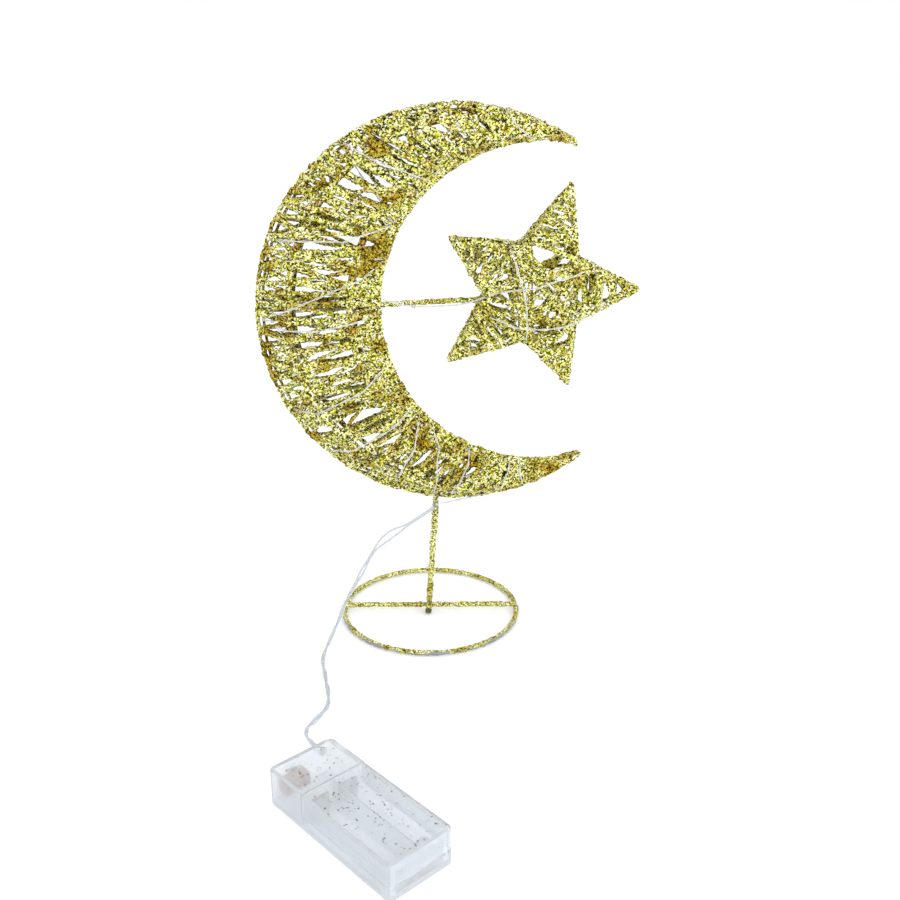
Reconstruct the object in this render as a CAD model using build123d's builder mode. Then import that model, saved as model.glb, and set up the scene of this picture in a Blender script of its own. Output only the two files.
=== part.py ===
"""Crescent and star ornament: a wire frame wound with yarn on a ring base, with a string of
lights on it and a lead to a two-cell battery box. Millimetres, +Z up, the origin on the table
at the middle of the base ring, the crescent in the XZ plane and its front towards -Y."""

import os
from math import atan2, cos, degrees, dist, pi, radians, sin, sqrt, tan

from build123d import *

os.makedirs("parts", exist_ok=True)

# Base and stem
ring_radius = 52.3
base_wire = 3.2
weld_sink = 0.3
stem_foot_x = -1.3
stem_foot_height = 1.2
stem_top_x = 4.0

# Crescent outline, measured over the yarn, in its own plane
crescent_x = 15.2
crescent_z = 185.2
crescent_tilt = 3.0
outer_radius = 109.3
limb_width = 67.9
half_depth = 12.0
tip_angle = 51.58
horn_share = 0.0701
horn_half_depth = 6.5
tip_half_width = 2.2
front_outer_share = 0.26
front_inner_share = 0.77

# Wire and yarn
frame_wire = 1.6
yarn = 2.2
yarn_bend = 2.4
tie_count = 7
tie_step = 0.016
weld_gap = 0.05
piece_gap = 0.3

# Yarn turns on the crescent
horn_turns = 10
lower_windings = 3
lower_turns = 11
upper_windings = 4
upper_turns = 10
arm_share = 0.523
arm_room = 0.0058

# Star, in the crescent's plane
star_u = 44.5
star_v = 8.1
star_tip_radius = 58.0
star_corner_radius = 27.0
star_half_depth = 9.0
star_tip_half_depth = 1.1
star_points = 5
star_bend = 1.6
spacer_gap = 0.17
star_turns = 7
star_first_turn = 27.0
star_last_turn = 51.0
star_middle_turns = 7
star_middle_radius = 24.9
star_middle_reach = 13.0
arm_wire = 3.0
arm_v = 6.3

# String of lights and lead
light_wire = 1.0
light_lift = 1.75
light_room = 2.2
light_reach = 36.0
light_bend = 4.0
light_turns = 10
light_horn_turns = 2
light_drop = 2.2
light_drops_upper = 14
light_drops_horn = 3
light_drops_star = 5
splice_diameter = 4.0
splice_drop = 7.0
lead_diameter = 1.9

# Battery box
box_x = -30.85
box_y = -195.2
box_heading = 48.0
box_length = 84.4
box_width = 35.0
box_height = 17.5
box_corner = 3.0
box_edge = 0.8
box_wall = 1.2
box_floor = 1.2
cover_thickness = 1.2
cover_gap = 0.25
skirt_thickness = 1.0
skirt_lift = 7.0
ridge_height = 1.0
ridge_depth = 0.5
ridge_z = 9.0
cell_diameter = 14.5
bay_width = 14.65
bay_length = 57.0
bridge_room = 1.2
switch_length = 25.0
plate_thickness = 0.5
plate_height = 11.0
plate_width = 10.0
spring_wire = 0.7
spring_radius = 3.2
spring_turns = 4
spring_pitch = 1.7
lever_width = 4.0
lever_height = 2.8
lever_reach = 2.6
lever_travel = 4.0
lever_y = -7.0
lever_z = 9.0
switch_body_depth = 6.0
switch_body_height = 6.5
lead_exit_y = 12.0
lead_exit_z = 12.0
grommet_reach = 5.0
grommet_wall = 1.2

# The inner circle of the crescent runs through both horn tips and the limb's middle
tip_u = outer_radius * cos(radians(tip_angle))
tip_v = outer_radius * sin(radians(tip_angle))
inner_edge = outer_radius - limb_width
inner_shift = (outer_radius**2 - inner_edge**2) / (2 * (tip_u + inner_edge))
inner_radius = inner_shift + inner_edge
tip_inner_angle = degrees(atan2(tip_v, tip_u - inner_shift))
horn_outer_angle = tip_angle + horn_share * (360.0 - 2 * tip_angle)
horn_inner_angle = tip_inner_angle + horn_share * (360.0 - 2 * tip_inner_angle)


def at(u, v, y):
    """A point of the crescent's tilted plane, u along its axis, v up, y to the back."""
    c = cos(radians(crescent_tilt))
    s = sin(radians(crescent_tilt))
    return Vector(crescent_x + u * c - v * s, y, crescent_z + u * s + v * c)


def export(piece, name):
    """Label a finished piece and write it to its own file."""
    piece.part.label = name
    export_step(piece.part, f"parts/{name}.step")


def limb_arc(share, side, inset, lift):
    """An arc along the limb from the lower horn to the upper one. Share runs from the outer
    rim, 0, to the inner one, 1. Side is -1 in front, 0 on the rims and 1 behind."""
    ends = []
    for turn in (-1, 0, 1):
        outer_angle = radians(180.0 - turn * (180.0 - horn_outer_angle))
        inner_angle = radians(180.0 - turn * (180.0 - horn_inner_angle))
        outer_u = (outer_radius - inset) * cos(outer_angle)
        outer_v = (outer_radius - inset) * sin(outer_angle)
        inner_u = inner_shift + (inner_radius + inset) * cos(inner_angle)
        inner_v = (inner_radius + inset) * sin(inner_angle)
        u = outer_u + share * (inner_u - outer_u)
        v = outer_v + share * (inner_v - outer_v)
        depth = half_depth if turn == 0 else horn_half_depth
        ends.append(at(u, v, side * (depth - lift)))
    return ThreePointArc(*ends, mode=Mode.PRIVATE)


def limb_corners(rim_inset, face_lift):
    """The six arcs that a turn round the limb bends at, in the order that it passes them."""
    return [
        limb_arc(0.0, 0, rim_inset, 0.0),
        limb_arc(front_outer_share, -1, rim_inset, face_lift),
        limb_arc(front_inner_share, -1, rim_inset, face_lift),
        limb_arc(1.0, 0, rim_inset, 0.0),
        limb_arc(front_inner_share, 1, rim_inset, face_lift),
        limb_arc(front_outer_share, 1, rim_inset, face_lift),
    ]


def wound_points(corners, start, end, turns, extra=0):
    """Corner points of a winding that advances evenly along the limb."""
    steps = turns * len(corners) + extra
    points = []
    for i in range(steps + 1):
        place = start + (end - start) * i / steps
        points.append(corners[i % len(corners)] @ place)
    return points


def corner_radii(points, largest):
    """The radius of each bend of a route, as large as its two runs allow."""
    radii = []
    for before, corner, after in zip(points, points[1:], points[2:]):
        turn = (corner - before).get_angle(after - corner)
        run = min((corner - before).length, (after - corner).length)
        radii.append(min(largest, 0.45 * run / tan(radians(turn / 2))))
    return radii


def bent_tube(points, radii, diameter):
    """A tube along straight runs joined by tangent arcs. Returns the piece and its line."""
    with BuildPart() as tube:
        with BuildLine() as route:
            FilletPolyline(*points, radius=radii)
        with BuildSketch(Plane(origin=route.line @ 0, z_dir=route.line % 0)):
            Circle(diameter / 2)
        sweep()
    return tube, route.wires()[0]


def least_gap(line, diameter, turn_length, samples):
    """The least gap between one stretch of a winding and the others, on points."""
    places = [tuple(line @ (i / samples)) for i in range(samples + 1)]
    apart = int(0.5 * turn_length / line.length * samples)
    nearest = min(
        dist(places[i], places[j])
        for i in range(samples + 1)
        for j in range(i + apart, min(samples + 1, i + 3 * apart))
    )
    return nearest - diameter


def winding(name, points, radius, diameter, turns):
    """A winding as one unbroken tube, with its least gap to itself printed."""
    tube, line = bent_tube(points, corner_radii(points, radius), diameter)
    gap = least_gap(line, diameter, line.length / turns, turns * 40)
    print(f"{name}: {turns} turns, least gap {gap:.2f}")
    export(tube, name)
    return line


# Base ring, lying on the table
with BuildPart() as base_ring:
    with BuildLine():
        CenterArc((0, 0, base_wire / 2), ring_radius, 0, 360)
    with BuildSketch(Plane(origin=(ring_radius, 0, base_wire / 2), z_dir=(0, 1, 0))):
        Circle(base_wire / 2)
    sweep()
export(base_ring, "base_ring")

# Cross bar, welded on top of the ring
bar_z = 1.5 * base_wire - weld_sink
with BuildPart() as base_crossbar:
    with BuildSketch(Plane(origin=(-ring_radius, 0, bar_z), z_dir=(1, 0, 0))):
        Circle(base_wire / 2)
    extrude(amount=2 * ring_radius)
export(base_crossbar, "base_crossbar")

# Frame wires of the crescent, each at the middle of the bend that the yarn makes round it
strip_slope = atan2(half_depth, front_outer_share * limb_width)
rim_seat = yarn_bend / sin(strip_slope)
rim_corner_inset = yarn / 2 - (rim_seat - yarn_bend)
rim_wire_inset = rim_corner_inset + rim_seat
face_wire_lift = yarn / 2 + yarn_bend + piece_gap
wire_corners = limb_corners(rim_wire_inset, face_wire_lift)
wire_names = [
    "rim_outer_wire",
    "front_outer_wire",
    "front_inner_wire",
    "rim_inner_wire",
    "back_inner_wire",
    "back_outer_wire",
]
for wire_name, arc in zip(wire_names, wire_corners):
    with BuildPart() as frame_piece:
        with BuildLine():
            add(arc)
        with BuildSketch(Plane(origin=arc @ 0, z_dir=arc % 0)):
            Circle(frame_wire / 2)
        sweep()
    export(frame_piece, wire_name)

# Stem, from the front of the bar up to the outer rim wire
rim_wire_radius = outer_radius - rim_wire_inset
stem_top_z = (
    crescent_z
    - sqrt(rim_wire_radius**2 - (stem_top_x - crescent_x) ** 2)
    - frame_wire / 2
    - weld_gap
    - 0.5 * base_wire * abs(stem_top_x - crescent_x) / rim_wire_radius
)
stem_foot = Vector(stem_foot_x, weld_sink - base_wire, stem_foot_height)
stem_top = Vector(stem_top_x, 0, stem_top_z)
with BuildPart() as stem:
    with BuildSketch(Plane(origin=stem_foot, z_dir=stem_top - stem_foot)):
        Circle(base_wire / 2)
    extrude(amount=(stem_top - stem_foot).length)
export(stem, "stem")


def tie_inset(arc, place, along):
    """How far a tie's square end stays from the middle of a wire that it meets at a slant."""
    lean = abs((arc % place).dot(along))
    return (frame_wire / 2 * (1 + lean) + weld_gap) / sqrt(1 - lean**2)


# Ties between the crescent's wires: front to back, and from rim to rim beside them
with BuildPart() as cross_ties:
    for i in range(tie_count):
        place = (i + 0.5) / tie_count
        for front, back in ((1, 5), (2, 4)):
            start = wire_corners[front] @ place
            end = wire_corners[back] @ place
            inset = frame_wire / 2 + weld_gap
            with BuildSketch(Plane(origin=start + Vector(0, inset, 0), z_dir=end - start)):
                Circle(frame_wire / 2)
            extrude(amount=(end - start).length - 2 * inset)
export(cross_ties, "cross_ties")

with BuildPart() as radial_ties:
    for i in range(tie_count):
        place = (i + 0.5) / tie_count + tie_step
        start = wire_corners[0] @ place
        end = wire_corners[3] @ place
        along = (end - start).normalized()
        outer_inset = tie_inset(wire_corners[0], place, along)
        inner_inset = tie_inset(wire_corners[3], place, along)
        with BuildSketch(Plane(origin=start + along * outer_inset, z_dir=along)):
            Circle(frame_wire / 2)
        extrude(amount=(end - start).length - outer_inset - inner_inset)
export(radial_ties, "radial_ties")

# Yarn wound round the limb, with room left for the stem and for the star's arm
yarn_corners = limb_corners(rim_corner_inset, yarn / 2)
horn_span = radians(2 * (180.0 - horn_outer_angle))
stem_angle = atan2(stem_top_z - crescent_z, stem_top_x - crescent_x) - radians(crescent_tilt)
stem_share = (radians(360.0 - horn_outer_angle) - (stem_angle + radians(360.0))) / horn_span
stem_room = (base_wire / 2 + yarn / 2 + piece_gap) / (outer_radius * horn_span)
yarn_end = 0.004
winding("yarn_lower_horn", wound_points(yarn_corners, yarn_end, stem_share - stem_room, horn_turns),
        yarn_bend, yarn, horn_turns)
lower_start = stem_share + stem_room
lower_span = arm_share - arm_room - lower_start
for i in range(lower_windings):
    start = lower_start + lower_span * i / lower_windings
    turn_share = lower_span / lower_windings / lower_turns
    end = start + lower_span / lower_windings - (turn_share / 3 if i < lower_windings - 1 else 0.0)
    winding(f"yarn_lower_limb_{i + 1}", wound_points(yarn_corners, start, end, lower_turns),
            yarn_bend, yarn, lower_turns)
upper_start = arm_share + arm_room
upper_span = 1.0 - yarn_end - upper_start
for i in range(upper_windings):
    start = upper_start + upper_span * i / upper_windings
    turn_share = upper_span / upper_windings / upper_turns
    end = start + upper_span / upper_windings - (turn_share / 3 if i < upper_windings - 1 else 0.0)
    winding(f"yarn_upper_limb_{i + 1}", wound_points(yarn_corners, start, end, upper_turns),
            yarn_bend, yarn, upper_turns)

# Yarn bound tight round the horn tips, past the ends of the frame wires
wrap_start = 0.03
wrap_end = 0.93
wrap_sections = 4
for wrap_name, side in (("lower_horn_wrap", -1), ("upper_horn_wrap", 1)):
    with BuildPart() as horn_wrap:
        for i in range(wrap_sections):
            share = wrap_start + (wrap_end - wrap_start) * i / (wrap_sections - 1)
            outer_angle = radians(horn_outer_angle + share * (tip_angle - horn_outer_angle))
            inner_angle = radians(horn_inner_angle + share * (tip_inner_angle - horn_inner_angle))
            outer = at(outer_radius * cos(outer_angle), side * outer_radius * sin(outer_angle), 0)
            inner = at(inner_shift + inner_radius * cos(inner_angle),
                       side * inner_radius * sin(inner_angle), 0)
            across = inner - outer
            half_width = max(tip_half_width, across.length / 2)
            depth = horn_half_depth + share * (tip_half_width - horn_half_depth)
            section = Plane(origin=(outer + inner) / 2, x_dir=across, z_dir=across.cross(Vector(0, side, 0)))
            with BuildSketch(section):
                Ellipse(half_width, depth)
        loft()
    export(horn_wrap, wrap_name)

# Star: a front and a back wire bent at the points and the corners between them
star_step = 360.0 / star_points


def star_at(angle, radius, y):
    """A point of the star, by its angle about the star's middle."""
    return at(star_u + radius * cos(radians(angle)), star_v + radius * sin(radians(angle)), y)


for star_name, side in (("star_front_wire", -1), ("star_back_wire", 1)):
    outline = []
    for i in range(star_points):
        outline.append(star_at(i * star_step, star_tip_radius, side * star_tip_half_depth))
        outline.append(star_at((i + 0.5) * star_step, star_corner_radius, side * star_half_depth))
    with BuildPart() as star_wire:
        with BuildLine() as star_line:
            FilletPolyline(*outline, radius=star_bend, close=True)
        with BuildSketch(Plane(origin=star_line.line @ 0, z_dir=star_line.line % 0)):
            Circle(frame_wire / 2)
        sweep()
    export(star_wire, star_name)

# Spacers between the two star wires, at the corners
with BuildPart() as star_spacers:
    for i in range(star_points):
        start = star_at((i + 0.5) * star_step, star_corner_radius, -star_half_depth)
        inset = frame_wire / 2 + spacer_gap
        with BuildSketch(Plane(origin=start + Vector(0, inset, 0), z_dir=(0, 1, 0))):
            Circle(frame_wire / 2)
        extrude(amount=2 * (star_half_depth - inset))
export(star_spacers, "star_spacers")

# Arm that carries the star, from the inner rim wire to the spacer at the star's left corner
arm_start = inner_shift - sqrt((inner_radius + rim_wire_inset) ** 2 - arm_v**2) + frame_wire / 2 + weld_gap
arm_end = star_u - star_corner_radius - frame_wire / 2 - weld_gap
with BuildPart() as star_arm:
    with BuildSketch(Plane(origin=at(arm_start, arm_v, 0), z_dir=at(1, 0, 0) - at(0, 0, 0))):
        Circle(arm_wire / 2)
    extrude(amount=arm_end - arm_start)
export(star_arm, "star_arm")

# Yarn wound round the star's arms, square across them
seat = yarn / 2 + frame_wire / 2 + piece_gap + 0.3 * yarn_bend
corner_reach = star_corner_radius * cos(radians(star_step / 2))
corner_side = star_corner_radius * sin(radians(star_step / 2))
for i in range(star_points):
    turn_points = []
    steps = 4 * star_turns
    for k in range(steps + 1):
        reach = star_first_turn + (star_last_turn - star_first_turn) * k / steps
        left = (star_tip_radius - reach) / (star_tip_radius - corner_reach)
        side = left * corner_side + seat
        depth = star_tip_half_depth + left * (star_half_depth - star_tip_half_depth) + seat
        across = side if k % 4 in (1, 2) else -side
        y = depth if k % 4 in (2, 3) else -depth
        angle = radians(i * star_step)
        u = star_u + reach * cos(angle) - across * sin(angle)
        v = star_v + reach * sin(angle) + across * cos(angle)
        turn_points.append(at(u, v, y))
    winding(f"star_yarn_{i + 1}", turn_points, yarn_bend, yarn, star_turns)

# Yarn over the star's middle
middle_points = []
steps = 4 * star_middle_turns
for k in range(steps + 1):
    u = star_middle_reach * (2.0 * k / steps - 1.0)
    side = sqrt(star_middle_radius**2 - u**2)
    across = side if k % 4 in (1, 2) else -side
    y = star_half_depth + seat
    middle_points.append(at(star_u + u, star_v + across, y if k % 4 in (2, 3) else -y))
winding("star_yarn_middle", middle_points, yarn_bend, yarn, star_middle_turns)

# String of lights on the crescent, from a sealed splice at the stem's top
light_corners = limb_corners(rim_corner_inset - yarn / 2 - light_lift, -light_lift)
stem_way = (stem_top - stem_foot).normalized()
splice_side = base_wire / 2 + splice_diameter / 2 + weld_gap
splice_place = stem_top - stem_way * splice_drop - Vector(0, splice_side, 0)
with BuildPart() as lead_splice:
    with Locations(splice_place):
        Sphere(splice_diameter / 2)
export(lead_splice, "lead_splice")

light_start = stem_share + 0.055
upper_route = wound_points(light_corners[1:] + light_corners[:1], light_start, 0.985, light_turns)
upper_points = [splice_place + Vector(-0.6, -0.6, 1.6)] + upper_route
upper_piece, upper_line = bent_tube(upper_points, corner_radii(upper_points, light_bend), light_wire)
export(upper_piece, "light_wire_upper")

horn_order = [light_corners[i] for i in (1, 2, 3, 4, 5, 0)]
horn_route = wound_points(horn_order, stem_share - 0.028, 0.012, light_horn_turns)
horn_points = [splice_place + Vector(0.9, -0.6, 1.5)] + horn_route
horn_piece, horn_line = bent_tube(horn_points, corner_radii(horn_points, light_bend), light_wire)
export(horn_piece, "light_wire_horn")


def star_corner(turn, y):
    """A point outside the corner between two star points, where the string turns."""
    return star_at((turn + 0.5) * star_step, light_reach, y)


# String of lights under the arm and round the star, through the corners between its points
near_y = star_half_depth + seat + yarn / 2 + light_room
far_y = near_y + light_room
arm_under = arm_v - arm_wire / 2 - light_wire / 2 - weld_gap
star_route = [
    at(arm_start + 9.0, arm_under, 0),
    at(star_u - light_reach - 4.0, arm_under, 0),
    at(star_u - light_reach, arm_under, -near_y),
    star_corner(0, -near_y),
    star_corner(0, near_y),
    star_corner(3, near_y),
    star_corner(3, -far_y),
    star_corner(1, -far_y),
    star_corner(1, far_y),
    star_corner(4, far_y),
    star_corner(4, -near_y),
    at(star_u, star_v - star_middle_reach, -near_y),
]
star_piece, star_light_line = bent_tube(star_route, corner_radii(star_route, light_bend), light_wire)
export(star_piece, "light_wire_star")

# Clear drops over the lights
with BuildPart() as light_drops:
    for line, count in (
        (upper_line, light_drops_upper),
        (horn_line, light_drops_horn),
        (star_light_line, light_drops_star),
    ):
        for i in range(count):
            with Locations(line @ ((i + 0.6) / (count + 0.2))):
                Sphere(light_drop / 2)
export(light_drops, "light_drops")

# Battery box, in its own plane: x along its length towards the front, y across it
box_plane = Plane(
    origin=(box_x, box_y, 0),
    x_dir=(cos(radians(box_heading)), -sin(radians(box_heading)), 0),
    z_dir=(0, 0, 1),
)
rear_x = -box_length / 2
divide_x = rear_x + switch_length
front_x = box_length / 2
tray_width = box_width - 2 * (skirt_thickness + cover_gap)
tray_height = box_height - cover_thickness - cover_gap
tray_front = front_x - skirt_thickness - cover_gap
bay_start = tray_front - box_wall - bay_length
bay_spread = (tray_width - 2 * box_wall - bay_width) / 2
rear_plane = Plane(
    origin=box_plane.from_local_coords((rear_x, 0, 0)),
    x_dir=-box_plane.y_dir,
    z_dir=-box_plane.x_dir,
)
roof = box_wall
with BuildPart() as battery_case:
    with BuildSketch(box_plane):
        with Locations(((rear_x + divide_x) / 2, 0)):
            Rectangle(switch_length, box_width)
    extrude(amount=box_height)
    rear_edges = battery_case.edges().filter_by(Axis.Z).sort_by_distance(
        box_plane.from_local_coords((rear_x, 0, box_height / 2)))[0:2]
    fillet(rear_edges, box_corner)
    with BuildSketch(box_plane):
        with Locations(((divide_x + tray_front) / 2, 0)):
            Rectangle(tray_front - divide_x, tray_width)
    extrude(amount=tray_height)
    front_edges = battery_case.edges().filter_by(Axis.Z).sort_by_distance(
        box_plane.from_local_coords((tray_front, 0, tray_height / 2)))[0:2]
    fillet(front_edges, box_corner - skirt_thickness - cover_gap)
    with BuildSketch(box_plane) as lower_wall:
        with Locations(((divide_x + front_x) / 2, 0)):
            Rectangle(front_x - divide_x, box_width)
        fillet(lower_wall.vertices().group_by(Axis.X)[-1], box_corner)
    extrude(amount=skirt_lift - cover_gap)
    with BuildSketch(box_plane.offset(box_floor)):
        for side in (-1, 1):
            with Locations((bay_start + bay_length / 2, side * bay_spread)):
                Rectangle(bay_length, bay_width)
        with Locations((tray_front - box_wall - bridge_room / 2, 0)):
            Rectangle(bridge_room, tray_width - 2 * box_wall)
    extrude(amount=box_height, mode=Mode.SUBTRACT)
    with BuildSketch(box_plane.offset(ridge_z - cover_gap)):
        for side in (-1, 1):
            with Locations(((divide_x + tray_front) / 2, side * (tray_width - ridge_depth) / 2)):
                Rectangle(tray_front - divide_x, ridge_depth)
    extrude(amount=ridge_height + 2 * cover_gap, mode=Mode.SUBTRACT)
    with BuildSketch(box_plane):
        with Locations(((rear_x + box_wall + bay_start - box_wall) / 2, 0)):
            Rectangle(bay_start - rear_x - 2 * box_wall, tray_width - 2 * box_wall)
    extrude(amount=box_height - roof, mode=Mode.SUBTRACT)
    with BuildSketch(rear_plane):
        with Locations((-lever_y, lever_z)):
            Rectangle(lever_width + lever_travel + 2 * piece_gap, lever_height + 2 * piece_gap)
        with Locations((-lead_exit_y, lead_exit_z)):
            Circle(lead_diameter / 2 + grommet_wall)
    extrude(amount=-2 * box_wall, mode=Mode.SUBTRACT)
export(battery_case, "battery_case")

# Cover over the bays, closed at its front end, that slides off towards the front
cover_start = divide_x + cover_gap
cover_length = front_x - cover_start
ridge_length = cover_length - 2 * box_corner
with BuildPart() as battery_cover:
    with BuildSketch(box_plane.offset(skirt_lift)) as cover_outline:
        with Locations((cover_start + cover_length / 2, 0)):
            Rectangle(cover_length, box_width)
        fillet(cover_outline.vertices().group_by(Axis.X)[-1], box_corner)
    extrude(amount=box_height - skirt_lift)
    cover_top = battery_cover.faces().sort_by(Axis.Z)[-1]
    rear_top = box_plane.from_local_coords((cover_start, 0, box_height))
    fillet(cover_top.edges().sort_by_distance(rear_top)[1:], box_edge)
    with BuildSketch(box_plane.offset(skirt_lift)) as cover_hollow:
        with Locations((cover_start + (cover_length - skirt_thickness) / 2, 0)):
            Rectangle(cover_length - skirt_thickness, box_width - 2 * skirt_thickness)
        fillet(cover_hollow.vertices().group_by(Axis.X)[-1], box_corner - skirt_thickness)
    extrude(amount=box_height - skirt_lift - cover_thickness, mode=Mode.SUBTRACT)
    with BuildSketch(box_plane.offset(ridge_z)):
        for side in (-1, 1):
            ridge_y = side * (box_width / 2 - skirt_thickness - ridge_depth / 2)
            with Locations((cover_start + ridge_length / 2, ridge_y)):
                Rectangle(ridge_length, ridge_depth)
    extrude(amount=ridge_height)
export(battery_cover, "battery_cover")

# Floor plate under the switch compartment
pocket_length = bay_start - rear_x - 2 * box_wall
pocket_width = tray_width - 2 * box_wall
with BuildPart() as switch_floor:
    with BuildSketch(box_plane):
        with Locations((rear_x + box_wall + pocket_length / 2, 0)):
            Rectangle(pocket_length - 2 * weld_gap, pocket_width - 2 * weld_gap)
    extrude(amount=box_floor)
export(switch_floor, "switch_floor")

# Switch body inside the rear wall, and the lever through the wall's slot
switch_span = lever_width + lever_travel + 4 * piece_gap
with BuildPart() as switch_body:
    with BuildSketch(rear_plane.offset(-box_wall - lever_height / 2 - 2 * piece_gap)):
        with Locations((-lever_y, lever_z)):
            Rectangle(switch_span + 2 * box_wall, switch_body_height)
    extrude(amount=-switch_body_depth)
export(switch_body, "switch_body")

lever_shift = lever_travel / 2
with BuildPart() as switch_lever:
    with BuildSketch(rear_plane.offset(lever_reach)):
        with Locations((-lever_y - lever_shift, lever_z)):
            Rectangle(lever_width, lever_height)
    extrude(amount=-(lever_reach + box_wall + piece_gap))
    with BuildSketch(rear_plane.offset(-box_wall - piece_gap)):
        with Locations((-lever_y - lever_shift, lever_z)):
            Rectangle(lever_width, switch_body_height)
    extrude(amount=-lever_height / 2)
    end_edges = switch_lever.faces().sort_by_distance(rear_plane.from_local_coords(
        (-lever_y - lever_shift, lever_z, lever_reach)))[0].edges()
    fillet(end_edges, box_edge)
export(switch_lever, "switch_lever")

# Contacts: a bridge across the front, and an end plate in each bay at the rear
front_inner_x = tray_front - box_wall
plate_z = box_floor + weld_gap
with BuildPart() as bridge_plate:
    with BuildSketch(box_plane.offset(plate_z)):
        with Locations((front_inner_x - weld_gap - plate_thickness / 2, 0)):
            Rectangle(plate_thickness, 2 * bay_spread + plate_width)
    extrude(amount=plate_height)
export(bridge_plate, "bridge_plate")

for plate_name, side in (("end_plate_left", -1), ("end_plate_right", 1)):
    with BuildPart() as end_plate:
        with BuildSketch(box_plane.offset(plate_z)):
            with Locations((bay_start + weld_gap + plate_thickness / 2, side * bay_spread)):
                Rectangle(plate_thickness, plate_width)
        extrude(amount=plate_height)
    export(end_plate, plate_name)


def biarc(start, start_way, end, end_way):
    """Two arcs from start to end that leave and arrive along the given ways."""
    gap = end - start
    ways = start_way + end_way
    lean = 2 * (1 - start_way.dot(end_way))
    reach = (sqrt(gap.dot(ways) ** 2 + lean * gap.dot(gap)) - gap.dot(ways)) / lean
    knee_start = start + start_way * reach
    knee_end = end - end_way * reach
    middle = (knee_start + knee_end) / 2
    TangentArc(start, middle, tangent=start_way)
    TangentArc(middle, end, tangent=(knee_end - knee_start).normalized())


# Coil springs: on the bridge in one bay and on the end plate in the other
spring_z = box_floor + cell_diameter / 2
for spring_name, side, foot_x, way in (
    ("cell_spring_front", 1, front_inner_x - 2 * weld_gap - plate_thickness - spring_wire / 2, -1),
    ("cell_spring_rear", -1, bay_start + 2 * weld_gap + plate_thickness + spring_wire / 2, 1),
):
    places = []
    ways = []
    rise = spring_pitch / 4
    for k in range(4 * spring_turns + 1):
        angle = radians(90.0 * k)
        around = (spring_radius * cos(angle), spring_radius * sin(angle))
        places.append(box_plane.from_local_coords(
            Vector(foot_x + way * rise * k, side * bay_spread + around[0], spring_z + around[1])))
        heading = Vector(way * rise, -around[1] * radians(90.0), around[0] * radians(90.0))
        ways.append((box_plane.from_local_coords(heading) - box_plane.origin).normalized())
    with BuildPart() as spring:
        with BuildLine() as coil:
            for k in range(4 * spring_turns):
                biarc(places[k], ways[k], places[k + 1], ways[k + 1])
        with BuildSketch(Plane(origin=places[0], z_dir=ways[0])):
            Circle(spring_wire / 2)
        sweep()
    coil_line = coil.wires()[0]
    coil_gap = least_gap(coil_line, spring_wire, coil_line.length / spring_turns, spring_turns * 40)
    print(f"{spring_name}: {spring_turns} turns, least gap {coil_gap:.2f}")
    export(spring, spring_name)

# Grommet where the lead leaves the case
lead_exit = rear_plane.from_local_coords((-lead_exit_y, lead_exit_z, 0))
with BuildPart() as lead_grommet:
    with BuildSketch(rear_plane.offset(-box_wall)):
        with Locations((-lead_exit_y, lead_exit_z)):
            Circle(lead_diameter / 2 + grommet_wall - weld_gap)
    extrude(amount=box_wall + grommet_reach, taper=4)
export(lead_grommet, "lead_grommet")

# Lead, from the grommet along the table, up beside the ring and on to the splice
lead_way = rear_plane.z_dir
lead_points = [
    lead_exit + lead_way * grommet_reach,
    lead_exit + lead_way * (grommet_reach + 8.5) + Vector(1.7, 0.9, -0.9),
    Vector(-60.2, -135.0, 7.0),
    Vector(-61.2, -123.0, 2.2),
    Vector(-57.2, -112.8, 1.2),
    Vector(-52.4, -102.5, 1.1),
    Vector(-53.6, -90.0, 1.2),
    Vector(-56.2, -78.0, 1.1),
    Vector(-58.2, -67.0, 1.1),
    Vector(-60.4, -56.5, 1.4),
    Vector(-58.3, -45.5, 3.4),
    Vector(-55.4, -36.0, 7.2),
    Vector(-51.6, -29.0, 14.0),
    Vector(-48.2, -24.0, 21.5),
    Vector(-43.0, -19.5, 29.5),
    Vector(-38.0, -15.5, 38.0),
    Vector(-32.6, -12.0, 47.2),
    splice_place + Vector(-28.1, -5.6, -17.4),
    splice_place + Vector(-18.7, -4.2, -12.4),
    splice_place + Vector(-9.7, -2.8, -6.8),
    splice_place + Vector(-1.0, -0.8, -1.4),
]
lead_radii = corner_radii(lead_points, 1000.0)
lead_piece, lead_line = bent_tube(lead_points, lead_radii, lead_diameter)
print("lead radii", [round(radius, 1) for radius in lead_radii])
lead_volume = pi * lead_diameter**2 / 4 * lead_line.length
print(f"lead length {lead_line.length:.1f}, volume {lead_piece.part.volume:.1f} of {lead_volume:.1f}")
export(lead_piece, "lead_cord")
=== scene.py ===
"""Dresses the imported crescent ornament: glitter yarn, coated wires, the string of lights, the twin
lead and the clear battery box. Metres, +Z up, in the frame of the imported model."""

from math import cos, pi, radians, sin

import bmesh
import bpy
import numpy as np
from bpy.props import FloatProperty, FloatVectorProperty, IntProperty, PointerProperty
from mathutils import Matrix, Vector


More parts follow.
